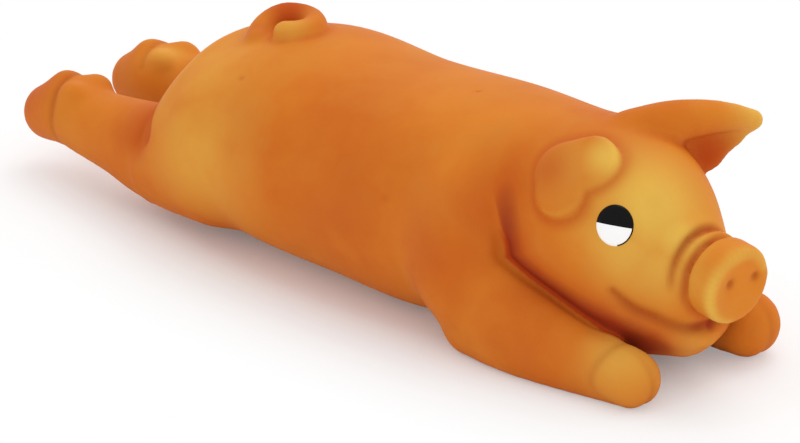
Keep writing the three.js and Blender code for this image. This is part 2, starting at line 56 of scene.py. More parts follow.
housing_low, housing_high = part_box("squeaker_housing")
PIG_ORIGIN = np.array([
    (housing_low.x + housing_high.x) / 2 / MILLIMETRE - SQUEAKER_X,
    (housing_low.y + housing_high.y) / 2 / MILLIMETRE,
    0.0,
])


def to_frame(points):
    """Points of the pig, in millimetres, as places in the frame, in metres"""
    return (np.asarray(points, float) + PIG_ORIGIN) * MILLIMETRE


def eased(low, high, value):
    """0 below low, 1 above high, and a soft step between them"""
    share = np.clip((value - low) / (high - low), 0, 1)
    return share * share * (3 - 2 * share)


def flowing(places, values, at):
    """Values at places, joined by one smooth line and read at other places"""
    places, values, at = (np.asarray(a, float) for a in (places, values, at))
    slopes = np.gradient(values, places, axis=0)
    span = np.clip(np.searchsorted(places, at) - 1, 0, len(places) - 2)
    width = places[span + 1] - places[span]
    share = (at - places[span]) / width
    if values.ndim > 1:
        share, width = share[:, None], width[:, None]
    start, end = values[span], values[span + 1]
    leaving, arriving = slopes[span] * width, slopes[span + 1] * width
    return (
        start * (2 * share**3 - 3 * share**2 + 1)
        + leaving * (share**3 - 2 * share**2 + share)
        + end * (3 * share**2 - 2 * share**3)
        + arriving * (share**3 - share**2)
    )


def unit(vector):
    """The same direction, with a length of one"""
    vector = np.asarray(vector, float)
    return vector / np.linalg.norm(vector)


class Clay:
    """A clay model on a regular grid. Each grid point knows its distance from the surface, in
    millimetres and negative inside, how much further in the hollow starts behind carving, and
    how much painted shade and brown paint a groove holds there. A form is felt as far as REACH,
    and FAR is far away."""

    FAR = 40.0
    REACH = 12.0
    FADED = 3  # a groove has faded out at this many times its width
    BACKED = SKIN_WALL + 2  # how far round a groove the hollow keeps clear of it
    SEAM_FELT = 0.1  # the depth from which a seam counts
    SEAM_BACKING = 0.6  # how much further in than its depth the hollow then stays
    SEAM_SHADE = 0.2  # the painted shade in a seam, as a share of its depth
    BOXES = 3
    BOX_SHARE = 1.7  # how much narrower a box is than the reach of all of them together
    FLATTEST = 1e-3
    LEAST_STEEPNESS = 0.3

    def __init__(self, low, high, spacing):
        self.spacing = spacing
        self.low = np.asarray(low, float)
        counts = np.ceil((np.asarray(high) - self.low) / spacing).astype(int) + 1
        self.axes = [self.low[i] + spacing * np.arange(counts[i]) for i in range(3)]
        self.distance = np.full(counts, self.FAR, np.float32)
        self.backing = np.zeros(counts, np.float32)
        self.grooves = np.zeros(counts, np.float32)

    def near(self, low, high, margin):
        """The part of the grid within a margin of a box, and the coordinates there"""
        part = tuple(
            slice(
                int(np.clip((low[i] - margin - self.low[i]) / self.spacing, 0, len(a) - 2)),
                int(np.clip((high[i] + margin - self.low[i]) / self.spacing + 2, 2, len(a))),
            )
            for i, a in enumerate(self.axes)
        )
        x, y, z = (a[s].astype(np.float32) for a, s in zip(self.axes, part))
        return part, x[:, None, None], y[None, :, None], z[None, None, :]

    def add(self, form, blend=0.5):
        """Presses a form onto the model, and smooths the joint over the blend's width. A blend
        that changes over the model is a function of the place."""
        low, high, distance = form
        part, x, y, z = self.near(low, high, self.REACH)
        width = blend(x, y, z) if callable(blend) else blend
        here, there = self.distance[part], distance(x, y, z)
        gap = np.maximum(width - np.abs(here - there), 0) / width
        self.distance[part] = np.minimum(here, there) - gap * gap * width / 4

    def cut(self, form, blend):
        """Takes a form away from the model"""
        low, high, distance = form
        part, x, y, z = self.near(low, high, self.REACH)
        here, there = self.distance[part], -distance(x, y, z)
        gap = np.maximum(blend - np.abs(here - there), 0) / blend
        self.distance[part] = np.maximum(here, there) + gap * gap * blend / 4

    def even_out(self):
        """Brings the field back to true distances, step by step away from the surface"""
        field = self.distance
        sign = field / np.sqrt(field**2 + self.spacing**2)
        outside = sign > 0
        pace = 0.5 * self.spacing
        for _ in range(int(self.REACH / self.spacing) + 4):
            steepness = 0.0
            for axis in range(3):
                step = np.diff(field, axis=axis) / self.spacing
                edge = [(0, 0)] * 3
                edge[axis] = (1, 0)
                behind = np.pad(step, edge, mode="edge")
                edge[axis] = (0, 1)
                ahead = np.pad(step, edge, mode="edge")
                rising = np.maximum(np.maximum(behind, 0) ** 2, np.minimum(ahead, 0) ** 2)
                falling = np.maximum(np.minimum(behind, 0) ** 2, np.maximum(ahead, 0) ** 2)
                steepness = steepness + np.where(outside, rising, falling)
            field = field - pace * sign * (np.sqrt(steepness) - 1)
        self.distance = field.astype(np.float32)

    def press(self, path, width, depth):
        """Presses a soft groove along a path on the surface, or raises a ridge if the depth is
        negative. Width and depth may change along the path."""
        path = self.settled(np.atleast_2d(np.asarray(path, float)))
        widths = np.broadcast_to(np.asarray(width, float), len(path))
        depths = np.broadcast_to(np.asarray(depth, float), len(path))
        part, x, y, z = self.near(path.min(0), path.max(0), self.FADED * widths.max())
        deepest = np.zeros(self.distance[part].shape, np.float32)
        backing = np.zeros(self.distance[part].shape, np.float32)
        paint = np.zeros(self.distance[part].shape, np.float32)
        if len(path) == 1:
            path, widths, depths = (np.repeat(a, 2, axis=0) for a in (path, widths, depths))
        for a, b, w0, w1, d0, d1 in zip(
            path, path[1:], widths, widths[1:], depths, depths[1:]
        ):
            share, away = along_segment(a, b, x, y, z)
            deep, wide = d0 + (d1 - d0) * share, w0 + (w1 - w0) * share
            here = deep * np.exp(-((away / wide) ** 2))
            deepest = np.where(np.abs(here) > np.abs(deepest), here, deepest)
            backing = np.maximum(backing, deep * (away < self.BACKED))
            # the groove's painted shade and brown paint
            paint = np.maximum(paint, here)
        self.distance[part] += deepest.astype(np.float32)
        self.backing[part] = np.maximum(self.backing[part], backing)
        self.grooves[part] = np.maximum(self.grooves[part], paint)

    def seam(self, before, form, width, depth):
        """Presses a groove along the line where a form meets the model that was there before.
        The depth is a function of the place."""
        low, high, distance = form
        part, x, y, z = self.near(low, high, self.REACH)
        away = np.hypot(before[part], distance(x, y, z))
        deep = depth(x, y, z) * np.exp(-((away / width) ** 2))
        self.distance[part] += deep.astype(np.float32)
        backing = deep + (deep > self.SEAM_FELT) * self.SEAM_BACKING
        self.backing[part] = np.maximum(self.backing[part], backing)
        self.grooves[part] = np.maximum(self.grooves[part], self.SEAM_SHADE * deep)

    def softened(self, reach):
        """The field averaged over the surroundings of each grid point, by a few box averages"""
        field = np.clip(self.distance, -2 * reach, 2 * reach).astype(np.float64)
        half = max(int(round(reach / self.spacing / self.BOX_SHARE)), 1)
        for axis in [0, 1, 2] * self.BOXES:
            width = [(0, 0)] * 3
            width[axis] = (half + 1, half)
            total = np.cumsum(np.pad(field, width, mode="edge"), axis=axis)
            count = field.shape[axis]
            window = [slice(None)] * 3
            start = list(window)
            window[axis], start[axis] = slice(2 * half + 1, 2 * half + 1 + count), slice(0, count)
            field = (total[tuple(window)] - total[tuple(start)]) / (2 * half + 1)
        return field

    def read(self, points, field=None):
        """The distance at any points, read between the grid's points"""
        field = self.distance if field is None else field
        place = (np.asarray(points) - self.low) / self.spacing
        corner = np.clip(np.floor(place).astype(int), 0, np.array(field.shape) - 2)
        share = place - corner
        total = 0.0
        for i in (0, 1):
            for j in (0, 1):
                for k in (0, 1):
                    weight = (
                        np.abs(1 - i - share[:, 0])
                        * np.abs(1 - j - share[:, 1])
                        * np.abs(1 - k - share[:, 2])
                    )
                    total = total + weight * field[
                        corner[:, 0] + i, corner[:, 1] + j, corner[:, 2] + k
                    ]
        return total

    def facing(self, points, field=None, step=0.4):
        """The direction straight out of the surface near any points, and how steep it is"""
        slope = np.stack(
            [
                self.read(points + offset, field) - self.read(points - offset, field)
                for offset in np.eye(3) * step
            ],
            axis=1,
        ) / (2 * step)
        steepness = np.maximum(np.linalg.norm(slope, axis=1, keepdims=True), self.FLATTEST)
        return slope / steepness, steepness

    def settled(self, points, field=None, rounds=4, stride=2.0):
        """The same points, moved straight in or out until they lie on the surface"""
        points = np.array(points, float)
        for _ in range(rounds):
            direction, steepness = self.facing(points, field)
            move = self.read(points, field)[:, None] / np.maximum(steepness, self.LEAST_STEEPNESS)
            points -= direction * np.clip(move, -stride, stride)
        return points


def along_segment(a, b, x, y, z):
    """The share of the way from a to b nearest to each point, and the distance from there"""
    d = b - a
    length2 = max(float(d @ d), 1e-9)
    share = ((x - a[0]) * d[0] + (y - a[1]) * d[1] + (z - a[2]) * d[2]) / length2
    share = np.clip(share, 0, 1)
    away = np.sqrt(
        (x - a[0] - share * d[0]) ** 2
        + (y - a[1] - share * d[1]) ** 2
        + (z - a[2] - share * d[2]) ** 2
    )
    return share, away


# Trunk: one swelling form from the rump to the muzzle, flat where it lies on the floor, with the
# lower jaw and the cheeks under it
FLOOR_FLAT = 0.5
MODEL_LOW = (-120, -46, -4)
MODEL_HIGH = (132, 44, 70)
clay = Clay(MODEL_LOW, MODEL_HIGH, SKIN_SPACING)


def barrel(stations, back_dome, front_dome, squareness=2.2):
    """A form that lies along the pig, over stations of (x, y, width, bottom, top), closed by a
    dome at each end. The least values keep it sound on its middle line and at its tips."""
    least_share, least_size, slopes = 0.01, 0.02, (0.8, 8)
    rows = np.array(stations, float)
    first, last = rows[0, 0], rows[-1, 0]
    low = [first - back_dome, (rows[:, 1] - rows[:, 2] / 2).min(), rows[:, 3].min()]
    high = [last + front_dome, (rows[:, 1] + rows[:, 2] / 2).max(), rows[:, 4].max()]

    def distance(x, y, z):
        along = x.ravel().astype(float)
        section = flowing(rows[:, 0], rows[:, 1:], np.clip(along, first, last))
        middle_y, width, bottom, top = (section[:, [c]][:, :, None] for c in range(4))
        beyond = np.maximum((first - along) / back_dome, (along - last) / front_dome)
        share = np.sqrt(np.clip(1 - np.maximum(beyond, 0) ** 2, least_share, 1))[:, None, None]
        across = np.abs(y - middle_y) / (width / 2 * share)
        rise = np.abs(z - (bottom + top) / 2) / ((top - bottom) / 2 * share)
        size = (across**squareness + rise**squareness) ** (1 / squareness)
        out = np.hypot(y - middle_y, z - (bottom + top) / 2) * (1 - 1 / np.maximum(size, least_size))
        past = np.maximum(first - back_dome - along, along - last - front_dome)
        out = np.maximum(out, past[:, None, None])
        step = along[1] - along[0]
        slope = np.gradient(out.astype(np.float32), step)
        steepness = np.sqrt(sum(s * s for s in slope))
        return (out / np.clip(steepness, *slopes)).astype(np.float32)

    return np.array(low), np.array(high), distance


clay.add(
    barrel(
        [
            (-46, 0, 56, 4, 48.3),
            (-29, 0, 66, 1.2, 52.3),
            (4, 0, 67, -FLOOR_FLAT, 52.3),
            (38, 0, 63, -FLOOR_FLAT, 55.2),
            (62, 0, 49, 7, 56.8),
            (78, 0, 45.5, 11, 57.4),
            (94, 0, 35, 13, 51.3),
            (107, 0, 16.4, 20.6, 37.2),
        ],
        back_dome=12,
        front_dome=5,
    )
)
clay.add(
    barrel(
        [
            (70, 0, 37, 6, 34),
            (90, 0, 36.5, 4.5, 33),
            (102, 0, 25, 6.5, 29),
        ],
        back_dome=8,
        front_dome=6,
        squareness=2,
    ),
    blend=4,
)

# Buttocks and hind legs, stretched back with the feet a little off the floor
HIND_SPREAD = 15.5


def limb(stations, steps=7):
    """A round form along stations of (x, y, z, radius), as a leg or a curled tail"""
    rows = np.array(stations, float)
    knots = np.arange(len(rows))
    path = flowing(knots, rows, np.linspace(0, knots[-1], steps * knots[-1] + 1))
    reach = path[:, 3:].max()

    def distance(x, y, z):
        nearest = np.float32(Clay.FAR)
        for a, b in zip(path, path[1:]):
            share, away = along_segment(a[:3], b[:3], x, y, z)
            nearest = np.minimum(nearest, away - (a[3] + (b[3] - a[3]) * share))
        return nearest.astype(np.float32)

    return path[:, :3].min(0) - reach, path[:, :3].max(0) + reach, distance


def buttock_blend(x, y, z):
    """A leg flows into the buttock underneath and outside, and leaves a fold on top"""
    smooth = np.maximum(eased(24, 16, z), eased(28, 33, np.abs(y)))
    return 1.0 + 5 * smooth + 0 * x


buttocks, hind_limbs, fore_limbs = {}, {}, {}
for side in (-1, 1):
    buttocks[side] = limb(
        [
            (-37, side * 17.0, 27, 16.4),
            (-42.5, side * 17.6, 24, 15.0),
            (-48, side * 18.2, 20.5, 12.4),
        ]
    )
    hind_limbs[side] = limb(
        [
            (-40, side * 17.0, 18.8, 15.2),
            (-58, side * 17.6, 16.4, 12.6),
            (-72, side * 17.2, 16.4, 10.3),
            (-84, side * 16.4, 16.3, 9.1),
            (-94, side * HIND_SPREAD, 17.2, 9.2),
            (-102.4, side * HIND_SPREAD, 14.6, 7.4),
        ]
    )
    clay.add(buttocks[side], blend=6)
trunk_alone = clay.distance.copy()
for side in (-1, 1):
    clay.add(hind_limbs[side], blend=buttock_blend)

# Forelegs, stretched forward on the floor. They join the shoulders softly, and only lie against
# the cheeks. A forefoot is (x, height, radius), and the left one is a little larger.
FORE_SPREAD = 20.5


def shoulder_blend(x, y, z):
    """A foreleg flows into the shoulder, and stays sharp along the cheek"""
    return 0.8 + 3.2 * eased(60, 48, x) + 0 * z


FORE_FEET = {-1: (101.4, 6.6, 7.0), 1: (101.5, 7.6, 8.1)}
FORE_SOLE = [(54, 23.5, 7, 8), (67, 24.8, 5.4, 6.4), (84, 22.8, 4.8, 5.6), (96, 20.2, 4.4, 4.4)]
for side in (-1, 1):
    foot_x, foot_height, foot_radius = FORE_FEET[side]
    fore_limbs[side] = limb(
        [
            (48, side * 17.3, 30.5, 16.5),
            (51, side * 20.3, 19.5, 15.0),
            (67, side * 21.4, 11.4, 11.8),
            (86, side * (FORE_SPREAD + 0.5), 7.8, 8.5),
            (foot_x, side * FORE_SPREAD, foot_height, foot_radius),
        ]
    )
    clay.add(fore_limbs[side], blend=shoulder_blend)
    clay.add(limb([(x, side * y, z, radius) for x, y, z, radius in FORE_SOLE]), blend=2.5)

# Dewclaws: two small bumps on top of each foot, behind the hoof, as (x, middle of the foot,
# distance from there, height, radii, blend)
DEWCLAWS = [
    (91, FORE_SPREAD, 3.2, 12.9, (3.4, 2.6, 2.2), 2.5),
    (-89.5, HIND_SPREAD, 4.2, 24.2, (4.0, 3.0, 2.8), 2),
]


def lump(centre, radii, axes=None):
    """An egg-shaped form. Its three axes may be turned."""
    centre = np.asarray(centre, float)
    axes = np.eye(3) if axes is None else np.array([unit(a) for a in axes])
    reach = np.sqrt(((axes * np.asarray(radii, float)[:, None]) ** 2).sum(0))

    def distance(x, y, z):
        u, v, w = (
            (x - centre[0]) * a[0] + (y - centre[1]) * a[1] + (z - centre[2]) * a[2]
            for a in axes
        )
        inner = np.sqrt((u / radii[0]) ** 2 + (v / radii[1]) ** 2 + (w / radii[2]) ** 2)
        outer = np.sqrt(
            (u / radii[0] ** 2) ** 2 + (v / radii[1] ** 2) ** 2 + (w / radii[2] ** 2) ** 2
        )
        return (inner * (inner - 1) / np.maximum(outer, 1e-4)).astype(np.float32)

    return centre - reach, centre + reach, distance


for side in (-1, 1):
    for claw in (-1, 1):
        for x, spread, apart, height, radii, blend in DEWCLAWS:
            clay.add(lump((x, side * spread + claw * apart, height), radii), blend)

# Snout: a dished disc at the end of the muzzle, with folds of skin behind it. It looks a little
# down, and a little to the pig's right.
SNOUT = np.array([117.3, -0.6, 28.7])
SNOUT_TURN = math.radians(-5)
SNOUT_PITCH = math.radians(-5)
SNOUT_AXIS = np.array(
    [
        math.cos(SNOUT_TURN) * math.cos(SNOUT_PITCH),
        math.sin(SNOUT_TURN) * math.cos(SNOUT_PITCH),
        math.sin(SNOUT_PITCH),
    ]
)
SNOUT_RIGHT = unit(np.cross(SNOUT_AXIS, (0, 0, 1)))
SNOUT_UP = np.cross(SNOUT_RIGHT, SNOUT_AXIS)
SNOUT_RADIUS = 10.0
SNOUT_LENGTH = 8.6
SNOUT_FLARE = 0.14


def about_axis(centre, axis, x, y, z):
    """How far up an axis each place is, and how far out from it"""
    dx, dy, dz = x - centre[0], y - centre[1], z - centre[2]
    up = dx * axis[0] + dy * axis[1] + dz * axis[2]
    return up, np.sqrt(np.maximum(dx * dx + dy * dy + dz * dz - up * up, 0))


def rounded(across, rise, edge):
    """The distance from a corner between two sides, rounded by the edge's radius"""
    corner = np.hypot(np.maximum(across, 0), np.maximum(rise, 0))
    return (corner + np.minimum(np.maximum(across, rise), 0) - edge).astype(np.float32)


def button(centre, axis, radius, half_height, edge):
    """A round disc with a rounded edge, as the end of the snout"""
    centre, axis = np.asarray(centre, float), unit(axis)

    def distance(x, y, z):
        up, out = about_axis(centre, axis, x, y, z)
        return rounded(out - radius + edge, np.abs(up) - half_height + edge, edge)

    return centre - radius - half_height, centre + radius + half_height, distance


def ring(centre, axis, radius, thickness):
    """A round ring, as a fold of the snout"""
    centre, axis = np.asarray(centre, float), unit(axis)

    def distance(x, y, z):
        up, out = about_axis(centre, axis, x, y, z)
        return (np.hypot(out - radius, up) - thickness / 2).astype(np.float32)

    return centre - radius - thickness, centre + radius + thickness, distance


def behind_snout(back, lift=0.0):
    """A place on the snout's axis, or lifted above it, so far behind the disc's face"""
    return SNOUT - SNOUT_AXIS * back + SNOUT_UP * lift


def round_snout(back, start, end, count=25):
    """A row of places round the snout, from one clock angle to another. The angle is 0 at the
    pig's right and 90 degrees at the top."""
    turns = np.radians(np.linspace(start, end, count))[:, None]
    out = np.cos(turns) * SNOUT_RIGHT + np.sin(turns) * SNOUT_UP
    return behind_snout(back) + out * (SNOUT_RADIUS + SNOUT_FLARE * (back - SNOUT_LENGTH))


muzzle_end = limb([(*behind_snout(22, 1), 8.6), (*behind_snout(12), 7.0)])
snout_fold = ring(behind_snout(10.9, -0.1), SNOUT_AXIS, radius=8.4, thickness=3.0)
disc_root = button(behind_snout(8.5), SNOUT_AXIS, radius=7.8, half_height=4, edge=0.5)
lower_lip = limb([(*behind_snout(18, -3), 7.6), (*behind_snout(10.5, -3.2), 7.2)])
half_length = SNOUT_LENGTH / 2
disc = button(behind_snout(half_length), SNOUT_AXIS, SNOUT_RADIUS, half_length, edge=1.8)
dish = lump(behind_snout(-1.2), (1.9, 7.4, 7.4), (SNOUT_AXIS, SNOUT_RIGHT, SNOUT_UP))
clay.add(muzzle_end, blend=3)
clay.add(snout_fold, blend=0.5)
clay.add(disc_root, blend=0.5)
clay.add(lower_lip, blend=1.5)
clay.add(disc, blend=0.5)
clay.cut(dish, blend=1.4)

# Right ear, folded forward over the cheek, and left ear, standing out with its top edge rolled
LEFT_EAR_ALONG = unit((0.42, 0.90, 0.08))
LEFT_EAR_FACE = unit((0.82, -0.42, 0.12))
LEFT_EAR_ROOT = np.array([80.0, 10.0, 50.5])
upright = LEFT_EAR_FACE - LEFT_EAR_ALONG * (LEFT_EAR_FACE @ LEFT_EAR_ALONG)
LEFT_EAR_UP = np.cross(unit(upright), LEFT_EAR_ALONG)
LEFT_EAR_ROLL = [
    (-4, 3.6, -1, 6.2),
    (5, 5.2, 1.2, 5.2),
    (14, 4.6, 2, 4.2),
    (21, 2.8, 1.4, 3.2),
    (26, 0.8, 0.4, 2.2),
]


def leaf(root, along, face, discs, thickness, curl):
    """A thin flap in a plane of its own. Its outline is drawn round discs of (along, across,
    radius), each joined to the next, and curl lifts it out of the plane towards the face."""
    root, along = np.asarray(root, float), unit(along)
    face = unit(np.asarray(face, float) - along * (np.asarray(face, float) @ along))
    across = np.cross(face, along)
    discs = np.array(discs, float)
    rounding, core = 0.8 * thickness / 2, 0.2 * thickness / 2
    reach = np.abs(discs).sum(1).max() + thickness + 4

    def distance(x, y, z):
        dx, dy, dz = x - root[0], y - root[1], z - root[2]
        u, v, w = (dx * a[0] + dy * a[1] + dz * a[2] for a in (along, across, face))
        outline = np.float32(Clay.FAR)
        for a, b in zip(discs, discs[1:]):
            d = b - a
            share = ((u - a[0]) * d[0] + (v - a[1]) * d[1]) / max(d[0] ** 2 + d[1] ** 2, 1e-9)
            share = np.clip(share, 0, 1)
            away = np.hypot(u - a[0] - share * d[0], v - a[1] - share * d[1])
            outline = np.minimum(outline, away - (a[2] + d[2] * share))
        return rounded(outline + rounding, np.abs(w - curl(u, v)) - core, rounding)

    return root - reach, root + reach, distance


def folded(u, v):
    """The right ear rises towards its tip, and hangs down round its edge"""
    tilt, sunk, droop = 0.11, 0.7, 75
    return tilt * (u - v) - sunk - (u * u + v * v) / droop


def cupped(u, v):
    """The left ear is hollow along its middle"""
    hollow, sunk = 0.03, 0.6
    return hollow * v * v - sunk


right_ear = leaf(
    root=(78.6, -17.5, 51.4),
    along=(0.844, 0.491, 0.216),
    face=(0.25, -0.72, 0.64),
    discs=[(4.6, 3.0, 6.8), (-1.8, 1.4, 7.4), (-3.1, -4.1, 6.3)],
    thickness=3.0,
    curl=folded,
)
right_ear_tip = lump((83.6, -19.6, 46.4), (1.6, 1.6, 1.6))
left_ear = leaf(
    root=LEFT_EAR_ROOT,
    along=LEFT_EAR_ALONG,
    face=LEFT_EAR_FACE,
    discs=[(1, -1, 10.5), (12, -1, 8), (19.5, 0, 5.2), (26, 0.6, 2.2)],
    thickness=2.6,
    curl=cupped,
)
rolled_edge = [
    (*(LEFT_EAR_ROOT + LEFT_EAR_ALONG * u + LEFT_EAR_UP * v + LEFT_EAR_FACE * w), radius)
    for u, v, w, radius in LEFT_EAR_ROLL
]
clay.add(right_ear, blend=1.0)
clay.add(right_ear_tip, blend=1.0)
clay.add(left_ear, blend=1.5)
clay.add(limb(rolled_edge), blend=2)

# Curled tail on the rump, wound clockwise from above
TAIL_MIDDLE = (-32.2, 0.1)
TAIL_TURNS = 0.81
TAIL_END = math.radians(-56)
TAIL_CURL = (7.8, 5.6)
TAIL_THICKNESS = (3.3, 3.1)
TAIL_BASE = 49.4
TAIL_RISE = 3.7
TAIL_TIP_RISE = 0.2
tail_stations = []
for share in np.linspace(0, 1, 19):
    angle = TAIL_END + 2 * math.pi * TAIL_TURNS * (1 - share)
    reach, radius = (a + (b - a) * share for a, b in (TAIL_CURL, TAIL_THICKNESS))
    height = TAIL_BASE + TAIL_RISE * eased(0, 0.35, share) + TAIL_TIP_RISE * eased(0.5, 1, share)
    x = TAIL_MIDDLE[0] + reach * math.cos(angle)
    y = TAIL_MIDDLE[1] + reach * math.sin(angle)
    tail_stations.append((x, y, height, radius))
clay.add(limb(tail_stations, steps=2), blend=0.8)

# The belly and the forelegs are flat where they lie on the floor.
floor_field = np.broadcast_to(-clay.axes[2][None, None, :], clay.distance.shape)
clay.distance = np.maximum(clay.distance, floor_field.astype(np.float32))

clay.even_out()

# Carving: the folds behind the snout's disc, the mouth with the lower lip under it and the cheek
# over its corner, the nostrils, and the seams between the legs and the trunk
NOSTRIL_SPACING = 3.9
NOSTRIL_TURN = -1.3
NOSTRIL_LIFT = 1.2
swell = np.sin(np.linspace(0, math.pi, 25))
clay.press(round_snout(back=9.2, start=150, end=-50), width=0.9, depth=0.1 + 0.8 * swell)
clay.press(round_snout(back=12.7, start=140, end=-20), width=0.9, depth=1.4 * swell)
clay.press(round_snout(back=14.2, start=130, end=-10), width=1.3, depth=-0.7 * swell)


def smooth_path(points, steps=33):
    """A row of places along the smooth line through a few points"""
    knots = np.arange(len(points))
    return flowing(knots, points, np.linspace(0, knots[-1], steps))


for side in (-1, 1):
    mouth = smooth_path(
        [
            (92.4, side * 17.4, 25.4),
            (94.6, side * 16.2, 23.4),
            (97.6, side * 14.4, 21.2),
            (101.5, side * 12, 19.7),
            (105.2, side * 8.8, 17.8),
            (107.5, side * 4.5, 16.4),
            (109, 0, 15.8),
        ]
    )
    lip = mouth[4:] - (0, 0, 4.2)
    cheek = [(94, side * 17.5, 30), (97, side * 16, 26.5)]
    nostril = SNOUT + SNOUT_RIGHT * (side * NOSTRIL_SPACING + NOSTRIL_TURN)
    clay.press(mouth, width=1.2, depth=np.linspace(0.9, 1.8, len(mouth)))
    clay.press(lip, width=2.4, depth=-0.9)
    clay.press(cheek, width=3.0, depth=-0.5)
    clay.press(nostril + SNOUT_UP * NOSTRIL_LIFT, width=1.1, depth=1.4)


def arm_seam(x, y, z):
    """Deep where a foreleg lies against the cheek, and nothing at the shoulder"""
    return 1.8 * eased(54, 64, x) * eased(36, 29, z) + 0 * y


def leg_seam(x, y, z):
    """Deep in the fold on top of a hind leg, and nothing underneath and outside"""
    return 1.3 * eased(18, 26, z) * eased(33, 28, np.abs(y)) + 0 * x


for side in (-1, 1):
    clay.seam(trunk_alone, fore_limbs[side], width=1.5, depth=arm_seam)
    clay.seam(trunk_alone, hind_limbs[side], width=1.8, depth=leg_seam)

# Hooves: a crease behind each, a cleft over the toes and a small swelling on top
HOOF_GROOVE = 0.9
HOOF_TOP_LEAN = 2
CREASE_END_SHARE = 0.35


def hoof(side, ankle, tip, spread, height, radius, slant, depth):
    """Presses the crease from the foot's outer side over its top to the inner side, and the
    cleft from its top over the tip. The crease leans forward by a little on top, and by the
    slant where it goes under the foot."""
    forward = np.sign(tip - ankle)
    crease = []
    for turn in np.linspace(-0.3, 0.8, len(swell)) * math.pi:
        out, up = math.cos(turn), math.sin(turn)
        lean = slant * max(-up, 0) ** 2 + HOOF_TOP_LEAN * max(up, 0) ** 2
        crease.append((ankle + forward * lean, side * (spread + radius * out), height + radius * up))
    clay.press(crease, HOOF_GROOVE, depth * (CREASE_END_SHARE + (1 - CREASE_END_SHARE) * swell**2))
    cleft = []
    for turn in np.linspace(0.55, -0.45, 17) * math.pi:
        out, up = math.cos(turn) - 1, math.sin(turn)
        cleft.append((tip + forward * radius * out, side * spread, height + radius * up))
    clay.press(cleft, HOOF_GROOVE, np.linspace(0.1, 0.8, len(cleft)))


for side in (-1, 1):
    x, z, radius = FORE_FEET[side]
    hoof(side, 95.3, x + radius, FORE_SPREAD, height=z, radius=radius, slant=9, depth=0.5)
    hoof(side, -93.0, -109.6, HIND_SPREAD, height=16.8, radius=9.0, slant=-2, depth=1.0)
    clay.press((101, side * FORE_SPREAD, 14.4), width=3.0, depth=-0.5)
    clay.press((-98.4, side * (HIND_SPREAD - 1), 25.4), width=3.4, depth=-1.5)

# Small vents of the mould
for vent in ((-26.6, -22.6, 47.5), (34.1, -1.6, 53.6), (31.5, -32.9, 35.5)):
    clay.press(vent, width=0.7, depth=0.6)

# From clay to a mesh, with one point in each cell of the grid that the surface crosses
SPECK = 0.1
SMOOTHINGS = 2


def neighbour_middle(points, quads):
    """For each point, the middle of the points that it shares an edge with"""
    total, count = np.zeros_like(points), np.zeros(len(points))
    for i in range(4):
        here = quads[:, i]
        for there in (quads[:, i - 1], quads[:, (i + 1) % 4]):
            count += np.bincount(here, minlength=len(points))
            for axis in range(3):
                total[:, axis] += np.bincount(here, points[there, axis], len(points))
    return total / count[:, None]


def without_specks(field):
    """The field without single grid points that stand alone inside or outside"""
    for side in (1, -1):
        held = side * field < 0
        joined = np.zeros_like(held)
        for axis in range(3):
            ahead, behind = [slice(None)] * 3, [slice(None)] * 3
            ahead[axis], behind[axis] = slice(1, None), slice(0, -1)
            joined[tuple(ahead)] |= held[tuple(behind)]
            joined[tuple(behind)] |= held[tuple(ahead)]
        field = np.where(held & ~joined, side * SPECK, field)
    return field


def surface_quads(model, field):
    """The surface where a field crosses zero, as points on it and the quads between them"""
    field = without_specks(field)
    inside = field < 0
    counts = [n - 1 for n in field.shape]

    def corner_values(array, corner):
        return array[tuple(slice(c, c + n) for c, n in zip(corner, counts))]

    corners = [(i, j, k) for i in (0, 1) for j in (0, 1) for k in (0, 1)]
    held = sum(corner_values(inside, c).astype(np.uint8) for c in corners)
    crossed = (held > 0) & (held < 8)
    cells = np.argwhere(crossed)
    number = np.full(crossed.shape, -1, np.int64)
    number[crossed] = np.arange(len(cells))
    values = {c: field[tuple((cells + c).T)] for c in corners}
    total, crossings = np.zeros((len(cells), 3)), np.zeros((len(cells), 1))
    for corner in corners:
        for axis in range(3):
            if corner[axis]:
                continue
            other = tuple(c + (i == axis) for i, c in enumerate(corner))
            a, b = values[corner], values[other]
            cut = (a < 0) != (b < 0)
            place = np.repeat([corner], cut.sum(), axis=0).astype(float)
            place[:, axis] += a[cut] / (a[cut] - b[cut])
            total[cut] += place
            crossings[cut] += 1
    points = model.low + model.spacing * (cells + total / crossings)
    quads = []
    for axis in range(3):
        u, v = (axis + 1) % 3, (axis + 2) % 3
        start = [slice(None)] * 3
        end = [slice(None)] * 3
        start[axis], end[axis] = slice(0, -1), slice(1, None)
        for s in (start, end):
            s[u] = s[v] = slice(1, -1)
        edges = np.argwhere(inside[tuple(start)] != inside[tuple(end)])
        edges[:, [u, v]] += 1
        outward = inside[tuple(edges.T)]
        corner_numbers = []
        for du, dv in ((-1, -1), (0, -1), (0, 0), (-1, 0)):
            cell = edges.copy()
            cell[:, u] += du
            cell[:, v] += dv
            corner_numbers.append(number[tuple(cell.T)])
        four = np.stack(corner_numbers, axis=1)
        quads.append(np.where(outward[:, None], four, four[:, ::-1]))
    points = model.settled(points, field, rounds=2, stride=model.spacing / 6)
    quads = np.concatenate(quads)
    for _ in range(SMOOTHINGS):
        points = (points + neighbour_middle(points, quads)) / 2
    return points, quads


def mesh_object(name, points, faces):
    """An object in the frame from points of the pig, in millimetres, and its faces"""
    mesh = bpy.data.meshes.new(name)
    mesh.from_pydata(to_frame(points).tolist(), [], [list(map(int, f)) for f in faces])
    mesh.polygons.foreach_set("use_smooth", [True] * len(mesh.polygons))
    mesh.update()
    piece = bpy.data.objects.new(name, mesh)
    bpy.context.scene.collection.objects.link(piece)
    return piece


def mark(piece, name, values):
    """Stores one value for each vertex, for a material to read"""
    attribute = piece.data.attributes.new(name, "FLOAT", "POINT")
    attribute.data.foreach_set("value", np.asarray(values, np.float32))


